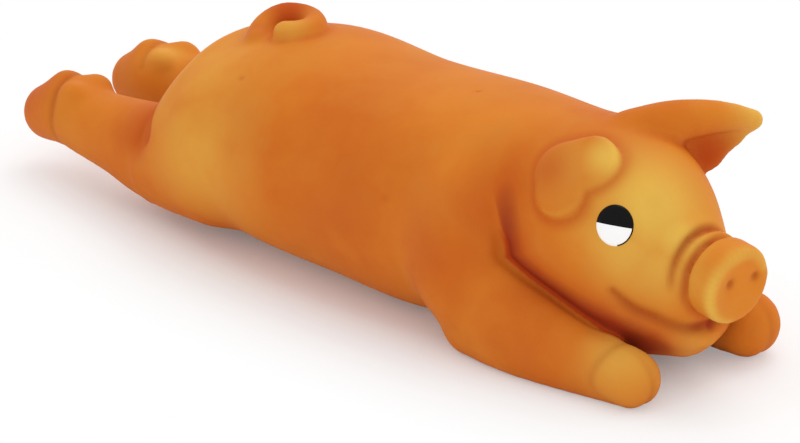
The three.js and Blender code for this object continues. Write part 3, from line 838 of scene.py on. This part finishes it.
# The skin is hollow, and open only where the squeaker goes through its seat, which has a bore
# for the barb and a recess for the flange. Each is a post of (radius, top).
SEAT = (15.0, 4.5)
SEAT_BORE = (8.5, 5.4)
SEAT_RECESS = (10.8, 1.8)


def take_posts(field, *posts):
    """Takes upright round posts out of a field, all on the squeaker's axis"""
    foot, edge, margin = -9, 0.05, 3
    for radius, top in posts:
        centre = (SQUEAKER_X, 0, (foot + top) / 2)
        low, high, distance = button(centre, (0, 0, 1), radius, (top - foot) / 2, edge)
        part, x, y, z = clay.near(low, high, margin)
        field[part] = np.maximum(field[part], -distance(x, y, z))


cavity = clay.distance + clay.backing + SKIN_WALL
take_posts(cavity, SEAT)
skin = np.maximum(clay.distance, -cavity)
take_posts(skin, SEAT_BORE, SEAT_RECESS)
skin_points, skin_quads = surface_quads(clay, skin)
latex_skin = mesh_object("latex_skin", skin_points, skin_quads)

# Airbrushed paint with painted shade and highlight: deep orange paint and painted shade gather in
# the creases, and ochre paint with a painted highlight lies on the raised forms. A crease or a
# ridge is where the skin bends in or out within a reach.
FINE_REACH = 1.6
BROAD_REACH = 5.0
# how much less of the creases' painted shade the forelegs take
ARM_LESS_SHADE = 0.8
# shares of the painted shade and red paint beside the buttocks and the right ear
BUTTOCK_SHADE_AND_PAINT = 0.6
EAR_SHADE_AND_PAINT = 0.6


def bend(reach):
    """How much the skin bends in at each vertex, and out where it is negative"""
    return -clay.read(skin_points, clay.softened(reach)) / reach


def held(amount, gain, least, most):
    """How strongly a mark shows on the skin, from the least amount that shows any"""
    return np.clip(gain * amount - least, 0, most)


fine, broad = bend(FINE_REACH), bend(BROAD_REACH)
to_arm = np.minimum(*(fore_limbs[side][2](*skin_points.T) for side in (-1, 1)))
on_arm = eased(0.3, -0.7, to_arm)
# Painted shade, with deep orange airbrush paint: the creases darken where the skin bends in, and
# less so on the forelegs
crease = held(fine, gain=1.3, least=0.03, most=0.6) + held(broad, gain=2.2, least=0.02, most=1)
# Painted shade and brown paint in the pressed grooves and seams
groove = clay.read(skin_points, clay.grooves)
mark(latex_skin, "crease", crease * (1 - ARM_LESS_SHADE * on_arm))
# Painted highlight: ochre on the ridges, where the skin bends out
mark(latex_skin, "ridge", held(-fine, gain=1.4, least=0.2, most=0.7))
mark(latex_skin, "groove", held(groove, gain=0.9, least=0, most=1))


def beside(form, reach):
    """How much painted shade and red paint gathers on the skin next to a form, and none on the form
    itself
    """
    away = form[2](*skin_points.T)
    return eased(-0.4, 1.0, away) * np.exp(-((np.maximum(away, 0) / reach) ** 2))


skin_x, _, skin_z = skin_points.T
on_trunk = eased(2.5, 0.8, clay.read(skin_points, trunk_alone))
by_arms = np.maximum(*(beside(fore_limbs[side], reach=8) for side in (-1, 1)))
by_buttocks = np.maximum(*(beside(buttocks[side], reach=9) for side in (-1, 1)))
by_ear = beside(right_ear, reach=2.5)
# Painted shade, with red airbrush paint: darker on the cheek over the forelegs, under the buttocks
# and under the right ear
shade_and_red_beside = np.max(
    [
        by_arms * on_trunk * eased(52, 66, skin_x),
        BUTTOCK_SHADE_AND_PAINT * by_buttocks * eased(-50, -56, skin_x) * eased(16, 24, skin_z),
        EAR_SHADE_AND_PAINT * by_ear * eased(75, 60, skin_z),
    ],
    axis=0,
)
mark(latex_skin, "shade_and_red_beside", shade_and_red_beside)


def sprayed(spots):
    """How much of a mark reaches each vertex from soft round spots of (x, y, z, radius, amount)"""
    amount = np.zeros(len(skin_points))
    for *centre, radius, share in spots:
        away = np.linalg.norm(skin_points - np.array(centre), axis=1) / radius
        amount = np.maximum(amount, share * np.exp(-away * away))
    return amount


# Ochre airbrush paint on the brow, cheeks, muzzle, haunch and rump, and painted highlight on the ear
# edges, the chin, the near part of the tail and a far hind dewclaw
OCHRE_AND_HIGHLIGHT_SPOTS = [
    (84.8, -11.6, 55.5, 6, 1.0),
    (98, -10, 47, 14, 1.0),
    (104, -8, 41, 8, 1.0),
    (97, -20, 38, 12, 0.8),
    (104, -15, 33, 11, 0.7),
    (78, -22, 60, 9, 0.9),
    (91, -18, 60, 7, 1.0),
    (-42, -22, 44, 20, 0.35),
    (-30, -32, 30, 16, 0.5),
    (88, 34, 54, 9, 0.9),
    (99, -22, 12, 9, 0.7),
    (105, -8, 12, 7, 0.5),
    (-27, -5, 56, 5, 0.45),
    (-89, 12, 27, 5, 0.45),
]
# Red-orange airbrush paint with painted shade inside the left ear and the tail's curl, paint on the
# shoulder and the hind feet, and painted shade behind the right ear, under the jaw and low on the
# near side
RED_AND_SHADE_SPOTS = [
    (73.5, -19, 51.8, 7, 0.5),
    (-37, 5, 54, 7, 0.9),
    (-38, -6, 52, 5, 0.5),
    (20, -34, 22, 26, 0.5),
    (60, -28, 40, 14, 0.5),
    (86, 22, 46, 8, 1.0),
    (-104, -16, 17, 12, 0.7),
    (-104, 16, 17, 10, 0.5),
    (74, -26, 14, 18, 0.6),
    (50, -30, 24, 18, 0.6),
]
# A painted highlight: an ochre band along the snout's rim
RIM_DROP = 0.8
RIM_RADIUS = 1.6
RIM_HIGHLIGHT = 0.7
snout_rim = round_snout(back=1.0, start=150, end=-70) - RIM_DROP * SNOUT_UP
rim_highlight_spots = [(*place, RIM_RADIUS, RIM_HIGHLIGHT) for place in snout_rim]
mark(latex_skin, "ochre", sprayed(OCHRE_AND_HIGHLIGHT_SPOTS) + sprayed(rim_highlight_spots))
mark(latex_skin, "red", sprayed(RED_AND_SHADE_SPOTS))


class Nodes:
    """Builds a material's nodes. A socket takes a plain value or another node's output."""

    def __init__(self, tree):
        self.tree = tree

    def add(self, kind, **settings):
        node = self.tree.nodes.new(kind)
        for key, value in settings.items():
            setattr(node, key, value)
        return node

    def feed(self, socket, value):
        if isinstance(value, bpy.types.NodeSocket):
            self.tree.links.new(value, socket)
        elif value is not None:
            socket.default_value = value

    def set(self, node, **values):
        """Feeds sockets by their names, with an underscore for each blank"""
        for key, value in values.items():
            self.feed(node.inputs[key.replace("_", " ")], value)
        return node

    def calculated(self, operation, a, b=None, c=None, clamp=False):
        node = self.add("ShaderNodeMath", operation=operation, use_clamp=clamp)
        for socket, value in zip(node.inputs, (a, b, c)):
            self.feed(socket, value)
        return node.outputs[0]

    def ranged(self, value, low, high, clamp=False):
        """A value from 0 to 1, spread from low to high"""
        return self.calculated("MULTIPLY_ADD", value, high - low, low, clamp)

    def mixed(self, share, a, b):
        """A colour between two colours"""
        node = self.add("ShaderNodeMix", data_type="RGBA")
        for socket, value in ((0, share), (6, a), (7, b)):
            self.feed(node.inputs[socket], value)
        return node.outputs[2]

    def marked(self, name):
        """The value that is stored for each vertex under a name"""
        return self.add("ShaderNodeAttribute", attribute_name=name).outputs["Fac"]

    def grained(self, cloud_scale, grain_scale, relief):
        """The outputs of the group of clouds and grain, with this material's own values"""
        node = self.add("ShaderNodeGroup", node_tree=clouds_and_grain)
        self.set(node, Cloud_Scale=cloud_scale, Grain_Scale=grain_scale, Relief=relief)
        return node.outputs


def new_material(name):
    """A material, the builder of its nodes, and its shader"""
    material = bpy.data.materials.new(name)
    material.use_nodes = True
    return material, Nodes(material.node_tree), material.node_tree.nodes["Principled BSDF"]


def srgb(red, green, blue):
    """A colour written as it looks, for a node's socket"""
    return tuple(
        c / 12.92 if c <= 0.04045 else ((c + 0.055) / 1.055) ** 2.4
        for c in (red / 255, green / 255, blue / 255)
    ) + (1.0,)


GRAIN_HEIGHT = 0.0004


def grain_group():
    """Soft clouds and a fine grain over a piece, and the normal of that grain's relief"""
    group = bpy.data.node_groups.new("clouds_and_grain", "ShaderNodeTree")
    for name, start in (("Cloud Scale", 60.0), ("Grain Scale", 900.0), ("Relief", 0.1)):
        socket = group.interface.new_socket(
            name=name, in_out="INPUT", socket_type="NodeSocketFloat"
        )
        socket.default_value = start
    for name, kind in (("Cloud", "Float"), ("Grain", "Float"), ("Normal", "Vector")):
        group.interface.new_socket(
            name=name, in_out="OUTPUT", socket_type="NodeSocket" + kind
        )
    inner = Nodes(group)
    given, result = inner.add("NodeGroupInput").outputs, inner.add("NodeGroupOutput")
    place = inner.add("ShaderNodeTexCoord").outputs["Object"]
    cloud, grain = (inner.add("ShaderNodeTexNoise") for _ in range(2))
    bump = inner.add("ShaderNodeBump")
    inner.set(cloud, Vector=place, Scale=given["Cloud Scale"], Detail=4.0)
    inner.set(grain, Vector=place, Scale=given["Grain Scale"], Detail=3.0)
    inner.set(bump, Strength=given["Relief"], Distance=GRAIN_HEIGHT, Height=grain.outputs["Fac"])
    inner.set(result, Cloud=cloud.outputs["Fac"], Grain=grain.outputs["Fac"])
    inner.set(result, Normal=bump.outputs["Normal"])
    return group


clouds_and_grain = grain_group()

ORANGE = srgb(204, 104, 28)
GOLDEN_ORANGE = srgb(222, 136, 44)
OCHRE = srgb(230, 184, 80)
RED_ORANGE = srgb(188, 68, 20)
GROOVE_BROWN = srgb(150, 58, 20)
SHADOW_BROWN = srgb(112, 42, 34)
BROWN_SHARE = 0.7

latex, nodes, shader = new_material("painted_latex")
skin_grain = nodes.grained(cloud_scale=70.0, grain_scale=900.0, relief=0.15)
broad_cloud = nodes.grained(cloud_scale=20.0, grain_scale=900.0, relief=0.0)["Cloud"]
cloudy = nodes.ranged(skin_grain["Cloud"], -0.35, 0.35)
golden_share = nodes.ranged(broad_cloud, -0.7, 1.7, clamp=True)
base = nodes.mixed(golden_share, ORANGE, GOLDEN_ORANGE)
# Ochre: airbrush paint from the spots, and painted highlight on the ridges and the snout's rim
ochre_share = nodes.calculated("ADD", nodes.marked("ochre"), nodes.marked("ridge"))
ochre_share = nodes.calculated("ADD", ochre_share, cloudy, clamp=True)
base = nodes.mixed(ochre_share, base, OCHRE)
# Red-orange: airbrush paint and painted shade, from the creases, the spots and beside the forms
red_share = nodes.calculated("MAXIMUM", nodes.marked("crease"), nodes.marked("red"))
red_share = nodes.calculated("MAXIMUM", red_share, nodes.marked("shade_and_red_beside"))
red_share = nodes.calculated("ADD", red_share, cloudy, clamp=True)
base = nodes.mixed(red_share, base, RED_ORANGE)
# Brown in the grooves: painted shade and brown paint
groove_share = nodes.calculated("MULTIPLY", nodes.marked("groove"), BROWN_SHARE)
base = nodes.mixed(groove_share, base, GROOVE_BROWN)
# Painted shadow: brown beside the forelegs, the buttocks and the right ear
shadow_share = nodes.ranged(nodes.marked("shade_and_red_beside"), -1.0, 0.8, clamp=True)
shadow_share = nodes.calculated("MULTIPLY", shadow_share, BROWN_SHARE)
base = nodes.mixed(shadow_share, base, SHADOW_BROWN)
nodes.set(
    shader,
    Base_Color=base,
    Normal=skin_grain["Normal"],
    Roughness=nodes.ranged(skin_grain["Cloud"], 0.45, 0.65),
    Specular_IOR_Level=0.06,
)
latex_skin.data.materials.append(latex)
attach(latex_skin, "pig")
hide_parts("torso", "head", "ear_left", "ear_right", "tail")
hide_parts("foreleg_left", "foreleg_right", "hind_leg_left", "hind_leg_right")

# Eyes
# Two domes of glossy paint over moulded bulges: the upper half is black, the lower half white,
# and a thin black line closes the white at the front.
EYE_PLACES = {"left": (87.0, 18.2, 36.8), "right": (91.6, -16, 41.6)}
EYE_HALF_WIDTH = 4.5
EYE_HALF_HEIGHT = 5.0
EYE_BULGE = 1.2
EYE_ROUNDNESS = 0.97
EYE_EDGE_UNDER = 0.15
EYE_BACK_UNDER = 0.5
EYE_RINGS = 16
EYE_SPOKES = 48


def eye_dome(name, place):
    """A dome on the skin at a place, closed behind, with its forward and upward shares marked"""
    middle = clay.settled(np.atleast_2d(place))
    facing, _ = clay.facing(middle, step=2.0)
    middle, facing = middle[0], facing[0]
    upward = unit(np.array([0, 0, 1]) - facing * facing[2])
    forward = np.cross(upward, facing) * (1 if facing[1] < 0 else -1)
    rows, places = [middle], [(0.0, 0.0)]
    for r in range(1, EYE_RINGS + 1):
        for s in range(EYE_SPOKES):
            angle = 2 * math.pi * s / EYE_SPOKES
            u, v = r / EYE_RINGS * math.cos(angle), r / EYE_RINGS * math.sin(angle)
            rows.append(middle + forward * u * EYE_HALF_WIDTH + upward * v * EYE_HALF_HEIGHT)
            places.append((u, v))
    places = np.array(places)
    seated = clay.settled(np.array(rows))
    reach = np.minimum(np.linalg.norm(places, axis=1), 1)
    rise = EYE_BULGE * np.sqrt(1 - reach**2 * EYE_ROUNDNESS) - EYE_EDGE_UNDER
    outer = seated + facing * rise[:, None]
    inner = seated - facing * EYE_BACK_UNDER
    count = len(rows)
    faces = []
    for s in range(EYE_SPOKES):
        t = (s + 1) % EYE_SPOKES
        faces.append((0, 1 + s, 1 + t))
        faces.append((count, count + 1 + t, count + 1 + s))
        for r in range(EYE_RINGS - 1):
            a, b = 1 + r * EYE_SPOKES + s, 1 + r * EYE_SPOKES + t
            c, d = a + EYE_SPOKES, b + EYE_SPOKES
            faces.append((a, c, d, b))
            faces.append((count + a, count + b, count + d, count + c))
        a, b = (1 + (EYE_RINGS - 1) * EYE_SPOKES + i for i in (s, t))
        faces.append((a, count + a, count + b, b))
    if facing[1] > 0:
        faces = [f[::-1] for f in faces]
    dome = mesh_object(name, np.concatenate([outer, inner]), faces)
    mark(dome, "eye_forward", np.tile(places[:, 0], 2))
    mark(dome, "eye_upward", np.tile(places[:, 1], 2))
    return dome


EYE_WHITE = srgb(255, 255, 254)
EYE_BLACK = srgb(6, 6, 8)
LID_SLANT = -0.08
RIM_START = 0.93
RIM_FRONT = 0.2

eye_paint, nodes, shader = new_material("glossy_eye_paint")
forward, upward = nodes.marked("eye_forward"), nodes.marked("eye_upward")
lid_line = nodes.calculated("MULTIPLY", forward, LID_SLANT)
lid = nodes.calculated("GREATER_THAN", upward, lid_line)
forward_squared = nodes.calculated("MULTIPLY", forward, forward)
upward_squared = nodes.calculated("MULTIPLY", upward, upward)
out = nodes.calculated("SQRT", nodes.calculated("ADD", forward_squared, upward_squared))
at_edge = nodes.calculated("GREATER_THAN", out, RIM_START)
at_front = nodes.calculated("GREATER_THAN", forward, RIM_FRONT)
rim = nodes.calculated("MULTIPLY", at_edge, at_front)
dark = nodes.calculated("MAXIMUM", lid, rim)
eye_colour = nodes.mixed(dark, EYE_WHITE, EYE_BLACK)
nodes.set(shader, Base_Color=eye_colour, Roughness=0.18, Specular_IOR_Level=0.12)
for side, place in EYE_PLACES.items():
    dome = eye_dome(f"painted_eye_{side}", place)
    dome.data.materials.append(eye_paint)
    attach(dome, "pig")
    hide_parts(f"eye_{side}")

# Wadding
# Loose polyester fibre packed through the belly hole into the torso, head and legs. It lies a
# little inside the latex, and leaves room for the seat and the squeaker.
WADDING_INSET = 2.6
SEAT_CLEARANCE = 0.5
ROOM_OVER_SEAT = tuple(size + SEAT_CLEARANCE for size in SEAT)
ROOM_OVER_SQUEAKER = (10.4, 18)
FIBRE_SHADE = srgb(222, 219, 210)
FIBRE_WHITE = srgb(250, 249, 245)

wad = clay.distance + WADDING_INSET
take_posts(wad, ROOM_OVER_SEAT, ROOM_OVER_SQUEAKER)
wad_points, wad_quads = surface_quads(clay, wad)
wadding = mesh_object("polyester_wadding", wad_points, wad_quads)
fibre, nodes, shader = new_material("polyester_fibre")
tufts = nodes.grained(cloud_scale=260.0, grain_scale=1500.0, relief=0.8)
fibre_colour = nodes.mixed(tufts["Cloud"], FIBRE_SHADE, FIBRE_WHITE)
nodes.set(shader, Base_Color=fibre_colour, Normal=tufts["Normal"], Roughness=1.0)
wadding.data.materials.append(fibre)
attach(wadding, "pig")
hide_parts("stuffing_torso", "stuffing_head")
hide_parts("stuffing_foreleg_left", "stuffing_foreleg_right")
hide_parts("stuffing_hind_leg_left", "stuffing_hind_leg_right")

# Squeaker
# A moulded housing whose barb holds behind the seat, with a channel, a clamp and a perforated
# cover of the same white plastic.
PLASTIC_SHADE = srgb(228, 228, 222)
PLASTIC_WHITE = srgb(242, 242, 238)


def coat(name, material):
    """Gives a solid of the frame one material"""
    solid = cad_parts[name]
    solid.data.materials.clear()
    solid.data.materials.append(material)


plastic, nodes, shader = new_material("squeaker_plastic")
moulded = nodes.grained(cloud_scale=700.0, grain_scale=2500.0, relief=0.05)
plastic_colour = nodes.mixed(moulded["Cloud"], PLASTIC_SHADE, PLASTIC_WHITE)
plastic_roughness = nodes.ranged(moulded["Cloud"], 0.3, 0.5)
nodes.set(
    shader, Base_Color=plastic_colour, Roughness=plastic_roughness, Normal=moulded["Normal"]
)
for name in ("squeaker_housing", "reed_channel", "reed_clamp", "squeaker_cover"):
    coat(name, plastic)

# Reed
# A strip of clear polyester film, held at its root by the clamp. It bends off the channel's flat
# side and buzzes when air is squeezed out of the pig.
FILM_SHADE = srgb(206, 216, 222)
FILM_CLEAR = srgb(226, 234, 238)

film, nodes, shader = new_material("reed_film")
streaks = nodes.grained(cloud_scale=300.0, grain_scale=2500.0, relief=0.02)
film_colour = nodes.mixed(streaks["Cloud"], FILM_SHADE, FILM_CLEAR)
film_roughness = nodes.ranged(streaks["Cloud"], 0.12, 0.27)
nodes.set(shader, Base_Color=film_colour, Roughness=film_roughness)
coat("reed", film)

# Floor, light and camera
# The pig lies on a white floor under a large soft light from above and behind. Away from the pig
# the floor glows plain white for the camera, so that only the shadow shows.
FLOOR_SIZE = 6.0
FLOOR_GAP = 0.00005
FLOOR_WHITE = (0.96, 0.96, 0.96, 1)
SHADOW_STRETCH = (0.35, 1, 1)
GLOW_START = 0.028
GLOW_FULL = 0.07
GLOW_LEAST = 0.12

bpy.ops.mesh.primitive_plane_add(size=FLOOR_SIZE, location=(0, 0, -FLOOR_GAP))
floor = bpy.context.object
floor.name = "studio_floor"
white, nodes, shader = new_material("studio_white")
nodes.set(shader, Base_Color=FLOOR_WHITE, Roughness=1.0, Specular_IOR_Level=0.0)
rays = nodes.add("ShaderNodeLightPath").outputs
glow = nodes.set(nodes.add("ShaderNodeEmission"), Strength=1.0)
place = nodes.add("ShaderNodeTexCoord").outputs["Object"]
narrowed = nodes.add("ShaderNodeVectorMath", operation="MULTIPLY")
nodes.feed(narrowed.inputs[0], place)
nodes.feed(narrowed.inputs[1], SHADOW_STRETCH)
away = nodes.add("ShaderNodeVectorMath", operation="LENGTH")
nodes.feed(away.inputs[0], narrowed.outputs["Vector"])
far_off = nodes.set(
    nodes.add("ShaderNodeMapRange"),
    Value=away.outputs["Value"],
    From_Min=GLOW_START,
    From_Max=GLOW_FULL,
    To_Min=GLOW_LEAST,
)
glow_share = nodes.calculated("MULTIPLY", far_off.outputs["Result"], rays["Is Camera Ray"])
blend = nodes.add("ShaderNodeMixShader")
for socket, value in enumerate((glow_share, shader.outputs[0], glow.outputs[0])):
    nodes.feed(blend.inputs[socket], value)
nodes.set(white.node_tree.nodes["Material Output"], Surface=blend.outputs[0])
floor.data.materials.append(white)

WORLD_LIGHT = 0.92
WORLD_SEEN = 1.0
world = bpy.data.worlds.new("studio")
bpy.context.scene.world = world
world.use_nodes = True
nodes = Nodes(world.node_tree)
rays = nodes.add("ShaderNodeLightPath").outputs
seen = nodes.calculated("MAXIMUM", rays["Is Camera Ray"], rays["Is Glossy Ray"])
seen = nodes.calculated("MAXIMUM", seen, rays["Is Transmission Ray"])
strength = nodes.ranged(seen, WORLD_LIGHT, WORLD_SEEN)
nodes.set(world.node_tree.nodes["Background"], Color=(1, 1, 1, 1), Strength=strength)

KEY_PLACE = Vector((-0.2, 0.9, 1.5))
KEY_TARGET = Vector((0, 0, 0.03))
key_light = bpy.data.lights.new("key_light", "AREA")
key_light.shape = "DISK"
key_light.size = 1.2
key_light.energy = 7.0
lamp = bpy.data.objects.new("key_light", key_light)
lamp.location = KEY_PLACE
lamp.rotation_mode = "QUATERNION"
lamp.rotation_quaternion = (KEY_TARGET - KEY_PLACE).to_track_quat("-Z", "Y")
bpy.context.scene.collection.objects.link(lamp)

CAMERA_TARGET = Vector(to_frame((22.5, -17.0, 22.0)))
CAMERA_TURN = math.radians(44)
CAMERA_RISE = math.radians(23.5)
CAMERA_AWAY = 1.5
CAMERA_LENS = 278.8
back = Vector(
    (
        math.sin(CAMERA_TURN) * math.cos(CAMERA_RISE),
        -math.cos(CAMERA_TURN) * math.cos(CAMERA_RISE),
        math.sin(CAMERA_RISE),
    )
)
lens = bpy.data.cameras.new("camera")
lens.lens = CAMERA_LENS
lens.sensor_width = 36.0
lens.clip_start = 0.05
lens.clip_end = 20.0
camera = bpy.data.objects.new("camera", lens)
camera.location = CAMERA_TARGET + back * CAMERA_AWAY
camera.rotation_mode = "QUATERNION"
camera.rotation_quaternion = (-back).to_track_quat("-Z", "Y")
bpy.context.scene.collection.objects.link(camera)
bpy.context.scene.camera = camera
bpy.context.scene.view_settings.view_transform = "Standard"
